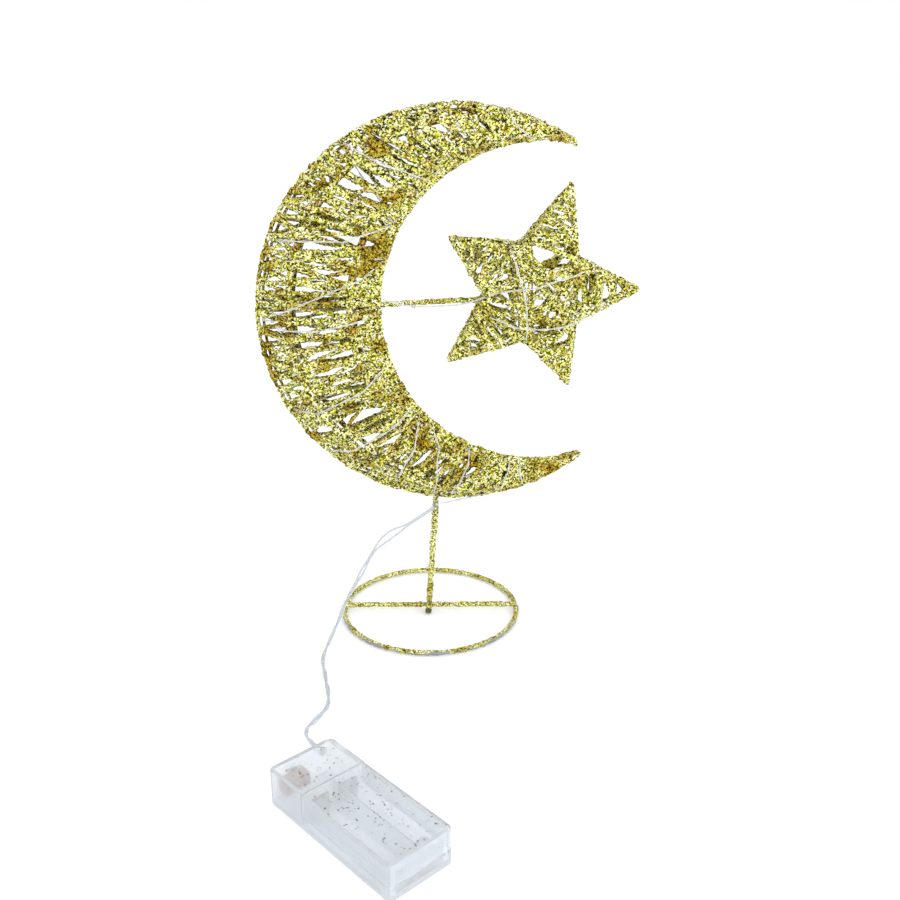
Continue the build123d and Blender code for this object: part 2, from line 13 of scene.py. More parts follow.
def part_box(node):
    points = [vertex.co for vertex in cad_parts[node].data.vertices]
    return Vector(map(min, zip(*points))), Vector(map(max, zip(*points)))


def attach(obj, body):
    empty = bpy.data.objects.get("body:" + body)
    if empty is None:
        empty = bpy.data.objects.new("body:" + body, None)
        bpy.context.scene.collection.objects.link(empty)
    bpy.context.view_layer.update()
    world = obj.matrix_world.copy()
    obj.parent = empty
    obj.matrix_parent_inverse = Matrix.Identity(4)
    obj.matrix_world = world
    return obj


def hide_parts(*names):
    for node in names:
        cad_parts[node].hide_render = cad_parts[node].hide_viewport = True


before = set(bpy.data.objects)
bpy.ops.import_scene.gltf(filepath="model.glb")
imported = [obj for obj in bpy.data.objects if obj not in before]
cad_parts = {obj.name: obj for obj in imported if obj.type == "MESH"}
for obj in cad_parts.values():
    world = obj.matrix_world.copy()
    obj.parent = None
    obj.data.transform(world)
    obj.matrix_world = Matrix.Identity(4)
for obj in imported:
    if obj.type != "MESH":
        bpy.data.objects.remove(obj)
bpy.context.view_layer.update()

bl_info = {
    "name": "Crescent ornament",
    "version": (1, 0, 0),
    "blender": (4, 5, 0),
    "location": "3D View > Sidebar > Ornament",
    "description": "Yarn, coated wires, lights, lead and battery box of a crescent ornament",
    "category": "Object",
}

# Control points of the lead, from the grommet along the table and up to the splice
LEAD_ROUTE = [
    (-0.05352, -0.15209, 0.012), (-0.0575, -0.14488, 0.0111), (-0.0602, -0.135, 0.007),
    (-0.0612, -0.123, 0.0022), (-0.0572, -0.1128, 0.0012), (-0.0524, -0.1025, 0.0011),
    (-0.0536, -0.09, 0.0012), (-0.0562, -0.078, 0.0011), (-0.0582, -0.067, 0.0011),
    (-0.0604, -0.0565, 0.0014), (-0.0583, -0.0455, 0.0034), (-0.0554, -0.036, 0.0072),
    (-0.0516, -0.029, 0.014), (-0.0482, -0.024, 0.0215), (-0.043, -0.0195, 0.0295),
    (-0.038, -0.0155, 0.038), (-0.0326, -0.012, 0.0472), (-0.02458, -0.00951, 0.0546),
    (-0.01518, -0.00811, 0.0596), (-0.00618, -0.00671, 0.0652), (0.00252, -0.00471, 0.0706),
]

# Where the battery box lies on the table, and how far it is turned from the width of the frame
BOX_PLACE = (-0.03085, -0.1952, 0.0)
BOX_HEADING = radians(48.0)

# Lines of lights over the limb's front: place along the limb, and share from outer to inner rim
LIMB_LIGHTS = [
    [(0.088, 0.32), (0.113, 1.0)],
    [(0.114, 0.22), (0.122, 0.73), (0.13, 1.0)],
    [(0.176, 0.15), (0.177, 0.40), (0.188, 0.75), (0.206, 0.99)],
    [(0.188, 0.02), (0.21, 0.43), (0.245, 0.81), (0.292, 1.0)],
    [(0.249, 0.24), (0.272, 0.68), (0.314, 0.98)],
    [(0.325, 0.03), (0.317, 0.22), (0.318, 0.66), (0.33, 1.0)],
    [(0.393, 0.04), (0.382, 0.23), (0.386, 0.47), (0.39, 0.68), (0.42, 1.0)],
    [(0.50, 0.16), (0.494, 0.24), (0.49, 0.51), (0.499, 0.83), (0.506, 1.0)],
    [(0.504, 0.04), (0.522, 0.33), (0.538, 0.55), (0.563, 0.82), (0.598, 1.0)],
    [(0.597, 0.06), (0.606, 0.33), (0.616, 0.62), (0.659, 0.94)],
    [(0.731, 0.05), (0.734, 0.45), (0.741, 0.65), (0.75, 0.99)],
    [(0.90, 0.0), (0.916, 0.1), (0.914, 0.5), (0.93, 1.0)],
]

# Outline of the hand-bent star in the crescent's plane: a tip, then the corner after it
STAR_OUTLINE = [
    (0.0997, 0.0072), (0.0662, 0.026),
    (0.0645, 0.065), (0.0366, 0.0342),
    (-0.001, 0.0402), (0.0165, 0.0088),
    (-0.0057, -0.0268), (0.0365, -0.0154),
    (0.0606, -0.0437), (0.0642, -0.0064),
]

# Lines of lights round the star, in the crescent's plane: along it, up it and towards the back
STAR_LIGHTS = [
    (-0.04, 0.0098, -0.0035), (-0.026, 0.0046, -0.0022), (-0.012, 0.004, -0.0018),
    (0.004, 0.0044, -0.003), (0.0165, 0.0095, -0.0105), (0.0239, 0.0121, -0.0132),
    (0.0362, 0.013, -0.0142), (0.0443, 0.0131, -0.0142), (0.0513, 0.0159, -0.014),
    (0.0668, 0.0188, -0.0125), (0.076, 0.0225, -0.004), (0.0765, 0.0225, 0.005),
    (0.064, 0.019, 0.0135), (0.044, 0.002, 0.0145), (0.037, -0.013, 0.0125),
    (0.0358, -0.0182, 0.0045), (0.036, -0.0182, -0.0055), (0.037, -0.016, -0.012),
    (0.0378, -0.009, -0.015), (0.0376, 0.0042, -0.0152), (0.0363, 0.0135, -0.015),
    (0.0329, 0.026, -0.014), (0.03, 0.0365, -0.009), (0.029, 0.039, 0.004),
    (0.033, 0.029, 0.0135), (0.046, 0.006, 0.015), (0.026, -0.004, 0.013),
    (0.013, -0.002, 0.005), (0.014, -0.0015, -0.006), (0.0244, -0.0038, -0.013),
    (0.0318, -0.0081, -0.0142), (0.047, -0.0095, -0.0146), (0.0589, -0.0085, -0.014),
    (0.0655, -0.0061, -0.013), (0.076, -0.004, -0.011), (0.08, 0.003, -0.0095),
]

# Glitter flakes per metre on the yarn, on the wires inside it and on the other wires
YARN_FLAKES = 1300.0
FRAME_FLAKES = 1500.0
WIRE_FLAKES = 1900.0

# Metres between the points of a strand of yarn and of a coated wire
STRAND_STEP = 0.00095
WIRE_STEP = 0.0011

# How far flakes stand out from wound yarn, and from yarn laid along an edge or bound round a horn
STRAND_ROUGH = 0.00042
EDGE_ROUGH = 0.0004

# Widths of the yarn along edges, along seams, round the horns and over the star
EDGE_WIDTH = 0.0020
SEAM_WIDTH = 0.0018
HORN_WIDTH = 0.0019
STAR_WIDTH = 0.0022

# Turns of yarn in each pass round a horn, and how far two strands twist about the star's wires
HORN_LOOPS = 21
TWIST_RADIUS = 0.0005

# Height of the base ring's middle, which is also how far it lies inside the solid's edge
RING_HEIGHT = 0.0019

# The lead's two strands: width, distance from the middle line, and twists for the whole length
LEAD_STRAND = 0.0012
LEAD_OFFSET = 0.00056
LEAD_TWISTS = 7.0

# Shares of the lead: where its twist ends in a small eye, and where its large eye lies
TWIST_END = 0.70
SMALL_EYE_LENGTH = 0.07
EYE_START = 0.80
EYE_LENGTH = 0.115


def paint(red, green, blue):
    """A colour given as 8-bit screen values, in the linear numbers that a shader takes."""
    linear = []
    for value in (red, green, blue):
        value = value / 255.0
        linear.append(value / 12.92 if value <= 0.04045 else ((value + 0.055) / 1.055) ** 2.4)
    return (*linear, 1.0)


def length_setting(name, about, value):
    """A setting in metres."""
    return FloatProperty(name=name, description=about, default=value, unit="LENGTH")


def angle_setting(name, about, degrees):
    """An angle that is given in degrees."""
    return FloatProperty(name=name, description=about, default=radians(degrees), subtype="ANGLE")


def share_setting(name, about, value):
    """A setting from nought to one."""
    return FloatProperty(name=name, description=about, default=value, subtype="FACTOR")


def colour_setting(name, about, *tone):
    """A colour that is given as 8-bit screen values."""
    return FloatVectorProperty(
        name=name, description=about, size=4, default=paint(*tone), subtype="COLOR")


class CrescentSizes(bpy.types.PropertyGroup):
    """Sizes of the crescent and its yarn."""

    centre: FloatVectorProperty(
        name="Centre", description="Middle of the outer circle", size=3,
        default=(0.0152, 0.0, 0.1852), subtype="TRANSLATION")
    tilt: angle_setting("Tilt", "How far the crescent is turned in its plane", 3.0)
    outer_radius: length_setting("Outer radius", "Outer rim, over the yarn", 0.1093)
    inner_radius: length_setting("Inner radius", "Inner rim, over the yarn", 0.0882)
    inner_shift: length_setting(
        "Inner shift", "Middle of the inner circle from the outer one's", 0.0468)
    outer_tip: angle_setting("Outer tip angle", "Where the outer rim ends at a horn", 51.58)
    inner_tip: angle_setting("Inner tip angle", "Where the inner rim ends at a horn", 76.145)
    half_depth: length_setting(
        "Half depth", "From the middle plane to the front of the limb", 0.012)
    tip_depth: length_setting("Tip half depth", "Half depth at a horn's tip", 0.0022)
    face_start: share_setting(
        "Face start", "Share of the width where the flat face begins", 0.26)
    face_end: share_setting("Face end", "Share of the width where the flat face ends", 0.77)
    yarn_width: length_setting("Yarn width", "Width of the glitter yarn", 0.0024)
    arm_place: share_setting("Arm place", "Place of the star's arm along the limb", 0.523)
    half_loops: IntProperty(
        name="Loops", description="Turns of each pass over one half of the limb", default=28, min=4)


class StarSizes(bpy.types.PropertyGroup):
    """Sizes of the star and its yarn."""

    half_depth: length_setting(
        "Half depth", "From the middle plane to the wires at the corners", 0.009)
    tip_depth: length_setting(
        "Tip half depth", "From the middle plane to the wires at the tips", 0.0011)
    arm_runs: IntProperty(
        name="Runs", description="Runs of yarn across each face of an arm", default=15, min=3)


class FinishColours(bpy.types.PropertyGroup):
    """Colours of the finishes."""

    # The dark, deep, light and bright flakes are painted shade, painted half shade, painted light
    # and painted glints, standing in for how each flake faces the light.
    flake_painted_shade: colour_setting("Dark flake", "Glitter flakes that face away", 54, 50, 0)
    flake_painted_half_shade: colour_setting("Deep flake", "Glitter flakes in half shade", 114, 109, 4)
    gold_mid: colour_setting("Middle flake", "Glitter flakes of a middle tone", 184, 182, 36)
    flake_painted_light: colour_setting("Light flake", "Glitter flakes that catch the light", 236, 237, 106)
    flake_painted_glint: colour_setting("Bright flake", "Glitter flakes that flash", 255, 255, 216)
    gold_amber: colour_setting("Amber flake", "A few warmer flakes", 208, 150, 20)
    steel: colour_setting("Bare steel", "Wire where the glitter has worn off", 158, 160, 160)


def feed(tree, node, inputs):
    """Set a node's inputs, by name or number, each to a link or to a fixed value."""
    for socket, source in inputs.items():
        if isinstance(source, bpy.types.NodeSocket):
            tree.links.new(source, node.inputs[socket])
        else:
            node.inputs[socket].default_value = source


def node_of(tree, kind, inputs, **options):
    """A new node with its options and inputs set."""
    made = tree.nodes.new(kind)
    for name, value in options.items():
        setattr(made, name, value)
    feed(tree, made, inputs)
    return made


def vector_math(tree, operation, *sources):
    """What a vector node makes of its sources."""
    made = node_of(tree, "ShaderNodeVectorMath", dict(enumerate(sources)), operation=operation)
    return made.outputs["Value" if operation == "DOT_PRODUCT" else "Vector"]


def number_math(tree, operation, *sources):
    """What a number node makes of its sources."""
    made = node_of(tree, "ShaderNodeMath", dict(enumerate(sources)), operation=operation)
    return made.outputs["Value"]


def noise_of(tree, place, scale, detail, roughness=0.5):
    """The value of a noise pattern."""
    made = node_of(tree, "ShaderNodeTexNoise",
                   {"Vector": place, "Scale": scale, "Detail": detail, "Roughness": roughness})
    return made.outputs["Fac"]


def ramp_of(tree, value, stops, interpolation="LINEAR"):
    """The colour that a ramp gives a value. Each of its stops is a place and a colour."""
    made = node_of(tree, "ShaderNodeValToRGB", {"Fac": value})
    ramp = made.color_ramp
    ramp.interpolation = interpolation
    for index, (place, colour) in enumerate(stops):
        stop = ramp.elements[index] if index < 2 else ramp.elements.new(place)
        stop.position = place
        stop.color = colour
    return made.outputs["Color"]


def new_material(name):
    """A node material with its Principled shader. Returns it, its tree and the shader."""
    material = bpy.data.materials.new(name)
    material.use_nodes = True
    tree = material.node_tree
    return material, tree, tree.nodes["Principled BSDF"]


def flake_group():
    """Glitter flakes: each cell of the pattern has its own tone, from painted shade to a painted
    glint, and its own tilt.
    """
    if "glitter_flakes" in bpy.data.node_groups:
        return bpy.data.node_groups["glitter_flakes"]
    colours = bpy.context.scene.ornament_colours
    tree = bpy.data.node_groups.new("glitter_flakes", "ShaderNodeTree")
    for name, way, kind in (
        ("Place", "INPUT", "NodeSocketVector"),
        ("Flakes per metre", "INPUT", "NodeSocketFloat"),
        ("Tilt", "INPUT", "NodeSocketFloat"),
        ("Colour", "OUTPUT", "NodeSocketColor"),
        ("Normal", "OUTPUT", "NodeSocketVector"),
    ):
        tree.interface.new_socket(name, in_out=way, socket_type=kind)
    given = tree.nodes.new("NodeGroupInput").outputs
    cells = node_of(tree, "ShaderNodeTexVoronoi",
                    {"Vector": given["Place"], "Scale": given["Flakes per metre"]})
    parts = node_of(tree, "ShaderNodeSeparateColor", {"Color": cells.outputs["Color"]})
    # Each cell is painted a tone from painted shade to a painted glint, on top of the tilt given to
    # its normal.
    shades = [
        (0.0, colours.flake_painted_shade),
        (0.17, colours.flake_painted_half_shade),
        (0.34, colours.gold_mid),
        (0.50, colours.flake_painted_light),
        (0.67, colours.flake_painted_glint),
        (0.96, colours.gold_amber),
    ]
    colour = ramp_of(tree, parts.outputs["Red"], shades, "CONSTANT")
    centred = vector_math(tree, "SUBTRACT", cells.outputs["Color"], (0.5, 0.5, 0.5))
    tilted = node_of(tree, "ShaderNodeVectorMath", {0: centred, "Scale": given["Tilt"]},
                     operation="SCALE")
    surface = tree.nodes.new("ShaderNodeNewGeometry")
    turned = vector_math(tree, "ADD", surface.outputs["Normal"], tilted.outputs["Vector"])
    unit = vector_math(tree, "NORMALIZE", turned)
    node_of(tree, "NodeGroupOutput", {"Colour": colour, "Normal": unit})
    return tree


def worn_colour(tree, place, colour):
    """Bare steel in stretches of a ring's outer lower side, where little glitter caught."""
    flat = vector_math(tree, "MULTIPLY", place, (1.0, 1.0, 0.0))
    outward = vector_math(tree, "NORMALIZE", flat)
    lowered = vector_math(tree, "ADD", outward, (0.0, 0.0, -0.75))
    surface = tree.nodes.new("ShaderNodeNewGeometry")
    facing = vector_math(tree, "DOT_PRODUCT", lowered, surface.outputs["Normal"])
    uneven = noise_of(tree, place, scale=38.0, detail=4.0, roughness=0.6)
    level = number_math(tree, "MULTIPLY_ADD", uneven, 4.5, facing)
    edge = node_of(tree, "ShaderNodeMapRange", {"Value": level, "From Min": 2.75, "From Max": 3.0})
    steel = bpy.context.scene.ornament_colours.steel
    mixed = node_of(tree, "ShaderNodeMix",
                    {"Factor": edge.outputs["Result"], "A": colour, "B": steel}, data_type="RGBA")
    return mixed.outputs["Result"]


def glitter_material(name, flakes, painted_shade_tone, bare=False):
    """Glitter on yarn or wire. Painted shade tone is the tone of its warm, dark patches, which are
    painted shade and a painted warm inner reflection of the yarn's hollows, and bare lets the steel
    of a ring show."""
    if name in bpy.data.materials:
        return bpy.data.materials[name]
    material, tree, shader = new_material(name)
    place = tree.nodes.new("ShaderNodeTexCoord").outputs["Object"]
    flake = node_of(tree, "ShaderNodeGroup",
                    {"Place": place, "Flakes per metre": flakes, "Tilt": 0.9},
                    node_tree=flake_group())
    # Warm, dark patches at random places: painted shade and a painted warm inner reflection of the
    # hollows in the yarn.
    painted_shade_patches = noise_of(tree, place, scale=75.0, detail=2.0)
    shade = ramp_of(tree, painted_shade_patches, [(0.36, painted_shade_tone), (0.52, (1.0, 1.0, 1.0, 1.0))])
    mixed = node_of(tree, "ShaderNodeMix",
                    {"Factor": 1.0, "A": flake.outputs["Colour"], "B": shade},
                    data_type="RGBA", blend_type="MULTIPLY")
    colour = mixed.outputs["Result"]
    if bare:
        colour = worn_colour(tree, place, colour)
    feed(tree, shader, {"Base Color": colour, "Normal": flake.outputs["Normal"], "Metallic": 0.45,
                        "Roughness": 0.42, "Specular IOR Level": 0.12})
    return material


def pale_yarn():
    """Glitter of the star's yarn and of the horns' bindings, paler than on the limb."""
    return glitter_material("pale_glitter_yarn", YARN_FLAKES, paint(226, 214, 150))


def clear_material(name, tint, roughness, index, clearness):
    """Clear or milky plastic with a faint cloud in its gloss and a faint shadow. Clearness is how
    much light goes through."""
    if name in bpy.data.materials:
        return bpy.data.materials[name]
    material, tree, shader = new_material(name)
    place = tree.nodes.new("ShaderNodeTexCoord").outputs["Object"]
    cloud = noise_of(tree, place, scale=180.0, detail=3.0)
    gloss = node_of(tree, "ShaderNodeMapRange",
                    {"Value": cloud, "To Min": roughness * 0.5, "To Max": roughness * 1.6})
    dimmed = tuple(0.985 * value for value in tint[:3]) + (1.0,)
    colour = ramp_of(tree, cloud, [(0.0, dimmed), (1.0, tint)])
    feed(tree, shader, {"Base Color": colour, "Roughness": gloss.outputs["Result"],
                        "Transmission Weight": clearness, "IOR": index})
    passing = node_of(tree, "ShaderNodeBsdfTransparent", {"Color": (0.97, 0.975, 0.985, 1.0)})
    rays = tree.nodes.new("ShaderNodeLightPath")
    either = node_of(tree, "ShaderNodeMixShader",
                     {"Fac": rays.outputs["Is Shadow Ray"], 1: shader.outputs["BSDF"],
                      2: passing.outputs["BSDF"]})
    feed(tree, tree.nodes["Material Output"], {"Surface": either.outputs["Shader"]})
    return material


def metal_material(name, dark, light, metallic, roughness, scale):
    """Wire, plate or moulding with faint stains."""
    if name in bpy.data.materials:
        return bpy.data.materials[name]
    material, tree, shader = new_material(name)
    place = tree.nodes.new("ShaderNodeTexCoord").outputs["Object"]
    stains = noise_of(tree, place, scale=scale, detail=3.0)
    colour = ramp_of(tree, stains, [(0.3, dark), (0.65, light)])
    feed(tree, shader, {"Base Color": colour, "Metallic": metallic, "Roughness": roughness})
    return material


def rounded(points, passes=2):
    """A line with its corners cut, as thin wire bends softly."""
    line = np.asarray(points, float)
    for _ in range(passes):
        near = 0.75 * line[:-1] + 0.25 * line[1:]
        far = 0.25 * line[:-1] + 0.75 * line[1:]
        middle = np.stack([near, far], axis=1).reshape(-1, 3)
        line = np.concatenate([line[:1], middle, line[-1:]])
    return line


def taut(corners, step, thin, thick, reach):
    """Yarn drawn from corner to corner: its points, and its thickness at each. Glue and glitter
    gather where strands meet, so a strand is thicker near its corners."""
    places = []
    widths = []
    for start, end in zip(corners[:-1], corners[1:]):
        length = float(np.linalg.norm(end - start))
        count = max(3, int(length / step))
        share = (np.arange(count) + 0.5) / count
        near = np.minimum(share, 1.0 - share) * length
        places.append(start + (end - start) * share[:, None])
        widths.append(thin + (thick - thin) * np.exp(-near / reach))
    return np.concatenate(places), np.concatenate(widths)


def spaced(points, step):
    """The same line with even steps."""
    line = np.asarray(points, float)
    runs = np.linalg.norm(np.diff(line, axis=0), axis=1)
    along = np.concatenate([[0.0], np.cumsum(runs)])
    count = max(3, int(round(along[-1] / step)) + 1)
    marks = np.linspace(0.0, along[-1], count)
    return np.stack([np.interp(marks, along, line[:, axis]) for axis in range(3)], axis=1)


def wavering(line, amount, draw):
    """A line moved a little off its course, smoothly."""
    moves = draw.normal(0.0, 1.0, line.shape)
    weights = np.array([1.0, 2.0, 3.0, 2.0, 1.0])
    weights = weights / np.sqrt((weights**2).sum())
    for axis in range(3):
        moves[:, axis] = np.convolve(moves[:, axis], weights, mode="same")
    return line + amount * moves


def in_plane(along, up, back):
    """World points of the crescent's tilted plane."""
    sizes = bpy.context.scene.ornament_crescent
    turn = (cos(sizes.tilt), sin(sizes.tilt))
    along = np.asarray(along, float)
    up = np.asarray(up, float)
    across = sizes.centre[0] + along * turn[0] - up * turn[1]
    height = sizes.centre[2] + along * turn[1] + up * turn[0]
    return np.stack([across, np.asarray(back, float) + 0.0 * along, height], axis=-1)


def rim_angle(place, tip):
    """Angle of a place on a rim that ends at the tip angle at each horn."""
    return (2 * pi - tip) - place * (2 * pi - 2 * tip)


def on_limb(place, share, side, lift):
    """World points on the limb's six-sided section. Place runs from the lower horn's tip to the
    upper one's, share from the outer rim to the inner one, and side is -1 in front, 1 behind."""
    sizes = bpy.context.scene.ornament_crescent
    place, share, side, lift = np.broadcast_arrays(
        *[np.asarray(value, float) for value in (place, share, side, lift)])
    outer_angle = rim_angle(place, sizes.outer_tip)
    inner_angle = rim_angle(place, sizes.inner_tip)
    outer = np.stack([np.cos(outer_angle), np.sin(outer_angle)], axis=-1) * sizes.outer_radius
    inner = np.stack([np.cos(inner_angle), np.sin(inner_angle)], axis=-1) * sizes.inner_radius
    inner[..., 0] += sizes.inner_shift
    across = inner - outer
    width = np.linalg.norm(across, axis=-1)
    widest = sizes.outer_radius - sizes.inner_radius + sizes.inner_shift
    depth = sizes.tip_depth + (sizes.half_depth - sizes.tip_depth) * (width / widest) ** 0.6
    first = sizes.face_start
    last = 1.0 - sizes.face_end
    rise = np.clip(np.minimum(share / first, (1.0 - share) / last), 0.0, 1.0)
    slope = np.where(share < first, -depth / (first * width), 0.0)
    slope = np.where(share > sizes.face_end, depth / (last * width), slope)
    steep = np.sqrt(1.0 + slope**2)
    flat = outer + across * share[..., None]
    flat = flat + (across / width[..., None]) * (lift * slope / steep)[..., None]
    back = side * (depth * rise + lift / steep)
    return in_plane(flat[..., 0], flat[..., 1], back)


def add_object(name, data):
    """A new object in the scene's own collection."""
    made = bpy.data.objects.new(name, data)
    bpy.context.scene.collection.objects.link(made)
    return made


def put(name, mesh, material, nodes=(), body="ornament"):
    """A finished piece from its mesh: material, slot, the CAD nodes it stands for and body."""
    piece = add_object(name, mesh)
    mesh.name = name
    mesh.materials.clear()
    mesh.materials.append(material)
    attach(piece, body)
    if nodes:
        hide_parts(*nodes)
    return piece


def coat(material, *names):
    """Give CAD nodes a material in place of their own."""
    for name in names:
        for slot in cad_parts[name].material_slots:
            slot.material = material


def curve_mesh(curve):
    """The mesh of a curve. The curve itself is removed."""
    holder = add_object(curve.name, curve)
    bpy.context.view_layer.update()
    view = bpy.context.evaluated_depsgraph_get()
    mesh = bpy.data.meshes.new_from_object(holder.evaluated_get(view))
    bpy.data.objects.remove(holder)
    bpy.data.curves.remove(curve)
    return mesh


def mesh_of(name, bm):
    """A mesh from a bmesh, which is freed."""
    mesh = bpy.data.meshes.new(name)
    bm.to_mesh(mesh)
    bm.free()
    return mesh


def tube_mesh(lines, width, sides, radii=None):
    """Tubes along lines as one mesh, made by a bevelled curve. Sides is 4, 6, 8 and so on."""
    curve = bpy.data.curves.new("tube", "CURVE")
    curve.dimensions = "3D"
    curve.bevel_depth = width / 2
    curve.bevel_resolution = (sides - 4) // 2
    curve.use_fill_caps = True
    for index, line in enumerate(lines):
        spline = curve.splines.new("POLY")
        spline.points.add(len(line) - 1)
        places = np.ones((len(line), 4))
        places[:, :3] = line
        spline.points.foreach_set("co", places.ravel())
        if radii is not None:
            spline.points.foreach_set("radius", radii[index])
    return curve_mesh(curve)


def roughen(mesh, amount, draw):
    """Moves each vertex in or out by chance, so the flakes stand up and facets catch the light."""
    count = len(mesh.vertices)
    places = np.empty(count * 3)
    ways = np.empty(count * 3)
    mesh.vertices.foreach_get("co", places)
    mesh.vertex_normals.foreach_get("vector", ways)
    moves = draw.uniform(-1.0, 1.0, count) * amount
    places = places.reshape(-1, 3) + ways.reshape(-1, 3) * moves[:, None]
    mesh.vertices.foreach_set("co", places.ravel())
    mesh.polygons.foreach_set("use_smooth", np.zeros(len(mesh.polygons), bool))
    mesh.update()
    return mesh


def glitter_mesh(lines, width, rough, draw, sides=6, widths=None):
    """Glitter-coated strands: tubes of uneven width with rough, flat facets."""
    if widths is None:
        widths = [np.ones(len(line)) for line in lines]
    radii = [wide * draw.uniform(0.84, 1.16, len(wide)) for wide in widths]
    return roughen(tube_mesh(lines, width, sides, radii), rough, draw)


def limb_knots(draw, gap):
    """Where the yarn bunches along each of the six corner lines of the limb."""
    sizes = bpy.context.scene.ornament_crescent
    bands = [0.0]
    while bands[-1] < 1.0:
        bands.append(bands[-1] + gap * draw.uniform(0.6, 1.4))
    bands = np.array(bands)
    between = (bands[:-1] + bands[1:]) / 2
    behind = bands + 0.0123 * np.cos(rim_angle(bands, sizes.outer_tip))
    noise = [draw.normal(0.0, 0.0014, len(bands)) for _ in range(4)]
    front = [bands + noise[0], bands + noise[1]]
    rear = [behind + noise[2], behind + noise[3]]
    return [between, *front, bands, *rear]


def limb_winding(start, end, loops, order, draw, spread, pull, knots):
    """One pass of yarn round the limb: taut runs between corner lines, drawn together at knots."""
    sizes = bpy.context.scene.ornament_crescent
    first = sizes.face_start
    last = sizes.face_end
    shares = np.array([0.0, first, last, 1.0, last, first])
    sides = np.array([1.0, -1.0, -1.0, 1.0, 1.0, 1.0])
    steps = loops * len(order)
    places = np.linspace(start, end, steps + 1)
    corners = np.array([order[k % len(order)] for k in range(steps + 1)])
    places = places + draw.normal(0.0, 1.0, steps + 1) * spread[corners]
    for k, corner in enumerate(corners):
        nearest = knots[corner][np.argmin(np.abs(knots[corner] - places[k]))]
        places[k] += pull[corner] * (nearest - places[k])
    places = np.clip(places, min(start, end), max(start, end))
    share = shares[corners] + draw.normal(0.0, 0.012, steps + 1)
    share = np.where((corners == 0) | (corners == 3), shares[corners], share)
    lift = -sizes.yarn_width / 2 + draw.uniform(-0.0007, 0.0001, steps + 1)
    return on_limb(places, share, sides[corners], lift)


def laid_strands(start, end, lines, draw):
    """Strands along half of the limb. A line is its share, its side, its lift and a shift back."""
    run = np.linspace(start, end, 200)
    strands = []
    for share, side, lift, back in lines:
        strand = on_limb(run, share, side, lift)
        strand[:, 1] += back
        strands.append(wavering(spaced(strand, 0.001), 0.0003, draw))
    return strands


class ORNAMENT_OT_crescent_yarn(bpy.types.Operator):
    """Wind the glitter yarn round the crescent and bind its horns"""

    bl_idname = "ornament.crescent_yarn"
    bl_label = "Crescent yarn"

    def execute(self, context):
        sizes = context.scene.ornament_crescent
        material = glitter_material("gold_glitter_yarn", YARN_FLAKES, paint(206, 184, 96))
        # The yarn along the creases between the faces gets darker amber patches: painted shade where
        # the faces meet.
        crease_shade_material = glitter_material("amber_glitter_seam", YARN_FLAKES, paint(186, 144, 48))
        pale_material = pale_yarn()
        draw = np.random.default_rng(41)
        knots = limb_knots(draw, gap=0.0175)
        spread = np.array((0.009, 0.0045, 0.0045, 0.008, 0.005, 0.005))
        pull = np.array((0.75, 0.76, 0.72, 0.2, 0.72, 0.72))
        lower_nodes = ["yarn_lower_horn"] + [f"yarn_lower_limb_{i}" for i in (1, 2, 3)]
        upper_nodes = [f"yarn_upper_limb_{i}" for i in (1, 2, 3, 4)]
        passes = [
            ("wound", (0, 1, 2, 3, 4, 5), 1, sizes.half_loops),
            ("crossed", (5, 4, 3, 2, 1, 0), -1, sizes.half_loops),
            ("laced", (0, 1, 2, 3, 2, 1), 1, sizes.half_loops // 2),
            ("inner_strip", (2, 3), 1, 2 * sizes.half_loops),
            ("outer_strip", (0, 1), -1, sizes.half_loops),
            ("slanted", (1, 2), 1, sizes.half_loops // 3),
        ]
        rims = [(share, 1.0, -0.0013, back) for share in (0.0, 1.0) for back in (-0.0008, 0.0008)]
        seams = []
        for share in (sizes.face_start, sizes.face_end):
            for side in (-1.0, 1.0):
                for shift in (-0.014, 0.014):
                    seams.append((share + shift, side, -0.0012, 0.0))
        for half, start, end, nodes in (
            ("lower", 0.012, sizes.arm_place, lower_nodes),
            ("upper", sizes.arm_place, 0.988, upper_nodes),
        ):
            for kind, order, way, loops in passes:
                ends = (start, end) if way > 0 else (end, start)
                loose = kind == "slanted"
                spreads = 2.0 * spread if loose else spread
                pulls = 0.5 * pull if loose else pull
                corners = limb_winding(*ends, loops, order, draw, spreads, pulls, knots)
                line, wide = taut(corners, STRAND_STEP, thin=0.9, thick=1.5, reach=0.0035)
                line = wavering(line, 0.00012, draw)
                mesh = glitter_mesh([line], sizes.yarn_width, STRAND_ROUGH, draw, widths=[wide])
                put(f"{half}_yarn_{kind}", mesh, material, nodes)
            for kind, lines, width, finish in (
                ("rim", rims, EDGE_WIDTH, material),
                ("seam", seams, SEAM_WIDTH, crease_shade_material),
            ):
                strands = laid_strands(start, end, lines, draw)
                mesh = glitter_mesh(strands, width, EDGE_ROUGH, draw)
                put(f"{half}_{kind}_yarn", mesh, finish)
        even_spread = np.full(6, 0.0016)
        even_pull = np.full(6, 0.2)
        for name, start, end, node in (
            ("lower_horn_binding", 0.004, 0.115, "lower_horn_wrap"),
            ("upper_horn_binding", 0.996, 0.885, "upper_horn_wrap"),
        ):
            lines = []
            for order in ((0, 1, 2, 3, 4, 5), (5, 4, 3, 2, 1, 0)):
                corners = limb_winding(start, end, HORN_LOOPS, order, draw, even_spread, even_pull,
                                       knots)
                lines.append(wavering(spaced(corners, STRAND_STEP), 0.00014, draw))
            mesh = glitter_mesh(lines, HORN_WIDTH, EDGE_ROUGH, draw)
            put(name, mesh, pale_material, [node])
        return {"FINISHED"}


def star_corners():
    """The star's bent outline in the crescent's plane, with the half depth at each corner."""
    sizes = bpy.context.scene.ornament_star
    outline = []
    for index, place in enumerate(STAR_OUTLINE):
        depth = sizes.tip_depth if index % 2 == 0 else sizes.half_depth
        outline.append((*place, depth))
    return np.array(outline)


